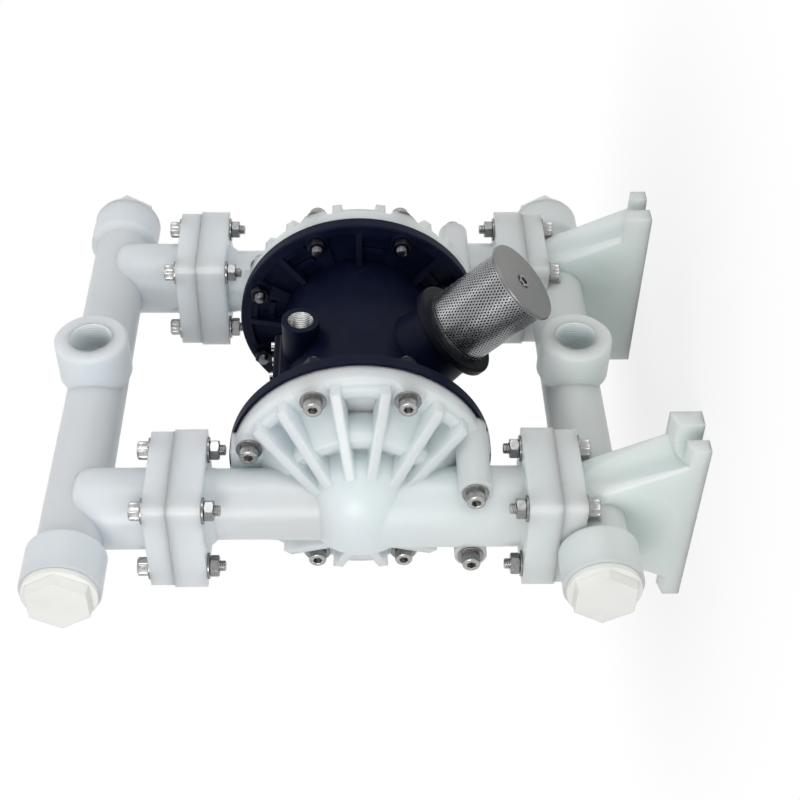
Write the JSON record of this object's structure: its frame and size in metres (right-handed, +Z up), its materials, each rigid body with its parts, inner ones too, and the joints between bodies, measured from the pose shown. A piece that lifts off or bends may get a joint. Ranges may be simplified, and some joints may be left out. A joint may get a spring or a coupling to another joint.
{
  "type": "air operated diaphragm pump",
  "caption": "Plastic double diaphragm pump driven by compressed air: dark centre body between ribbed chambers, bolted pipe manifolds with feet, and a perforated exhaust muffler.",
  "frame": {"origin": "on the floor, at the middle of the pattern of the foot slots, under the middle of the diaphragm shaft", "axes": "+Z up, the diaphragm shaft and the manifold pipes lie along X, and the fluid ports and the air inlet face -Y"},
  "size_m": [0.427, 0.2161, 0.458],
  "materials": {
    "milky_plastic": "translucent moulded polypropylene",
    "cream_plastic": "moulded plastic",
    "navy_plastic": "glass filled, fine grain",
    "black_plastic": "moulded",
    "steel": "stainless, turned",
    "cap_steel": "stainless, satin",
    "perforated_steel": "stainless sheet, perforated",
    "felt": "sintered fibre",
    "brass": "machined",
    "spool_aluminium": "hard anodised",
    "plate_aluminium": "cast",
    "diaphragm_rubber": "moulded, fabric backed",
    "ball_rubber": "moulded",
    "seal_rubber": "moulded"
  },
  "bodies": {
    "pump": {"centre_body": "navy_plastic", "air_chamber_left": "navy_plastic", "air_chamber_right": "navy_plastic", "air_inlet_bush": "steel", "valve_cover_gasket": "seal_rubber", "valve_cover": "navy_plastic", "valve_cover_screws": "steel", "valve_sleeve": "brass", "valve_end_cap_left": "navy_plastic", "valve_end_cap_right": "navy_plastic", "pilot_bush_left": "brass", "pilot_bush_right": "brass", "exhaust_flange": "black_plastic", "muffler_core": "felt", "muffler_can": "perforated_steel", "muffler_cap": "cap_steel", "muffler_tie_bolt": "steel", "diaphragm_right": "diaphragm_rubber", "diaphragm_left": "diaphragm_rubber", "shaft_bush_left": "brass", "shaft_bush_right": "brass", "shaft_seal_left": "seal_rubber", "shaft_seal_right": "seal_rubber", "right_chamber": "milky_plastic", "left_chamber": "milky_plastic", "outlet_manifold": "milky_plastic", "inlet_manifold": "milky_plastic", "chamber_screws": "steel", "chamber_washers": "steel", "chamber_nuts": "steel", "flange_screws": "steel", "flange_washers": "steel", "flange_nuts": "steel", "outlet_plug_left": "cream_plastic", "outlet_seat_left": "milky_plastic", "outlet_seat_ring_left": "seal_rubber", "outlet_plug_right": "cream_plastic", "outlet_seat_right": "milky_plastic", "outlet_seat_ring_right": "seal_rubber", "inlet_plug_left": "cream_plastic", "inlet_seat_left": "milky_plastic", "inlet_seat_ring_left": "seal_rubber", "inlet_plug_right": "cream_plastic", "inlet_seat_right": "milky_plastic", "inlet_seat_ring_right": "seal_rubber"},
    "shaft": {"diaphragm_shaft": "steel", "inner_plate_left": "plate_aluminium", "inner_plate_right": "plate_aluminium", "outer_plate_left": "milky_plastic", "outer_plate_right": "milky_plastic"},
    "spool": {"valve_spool": "spool_aluminium"},
    "pilot": {"pilot_rod": "steel"},
    "outlet_left_ball": {"outlet_ball_left": "ball_rubber"},
    "outlet_right_ball": {"outlet_ball_right": "ball_rubber"},
    "inlet_left_ball": {"inlet_ball_left": "ball_rubber"},
    "inlet_right_ball": {"inlet_ball_right": "ball_rubber"}
  },
  "joints": [
    {"name": "shaft_slide", "type": "slide", "parent": "pump", "child": "shaft", "axis": [1, 0, 0], "range_m": [-0.008, 0.008], "deforming": ["diaphragm_left", "diaphragm_right"]},
    {"name": "spool_slide", "type": "slide", "parent": "pump", "child": "spool", "axis": [1, 0, 0], "range_m": [-0.006, 0.006]},
    {"name": "pilot_slide", "type": "slide", "parent": "pump", "child": "pilot", "axis": [1, 0, 0], "range_m": [-0.0025, 0.0025]},
    {"name": "outlet_left_ball_lift", "type": "slide", "parent": "pump", "child": "outlet_left_ball", "axis": [0, 0, 1], "range_m": [0, 0.009]},
    {"name": "outlet_right_ball_lift", "type": "slide", "parent": "pump", "child": "outlet_right_ball", "axis": [0, 0, 1], "range_m": [0, 0.009]},
    {"name": "inlet_left_ball_lift", "type": "slide", "parent": "pump", "child": "inlet_left_ball", "axis": [0, 0, 1], "range_m": [0, 0.009]},
    {"name": "inlet_right_ball_lift", "type": "slide", "parent": "pump", "child": "inlet_right_ball", "axis": [0, 0, 1], "range_m": [0, 0.009]}
  ]
}
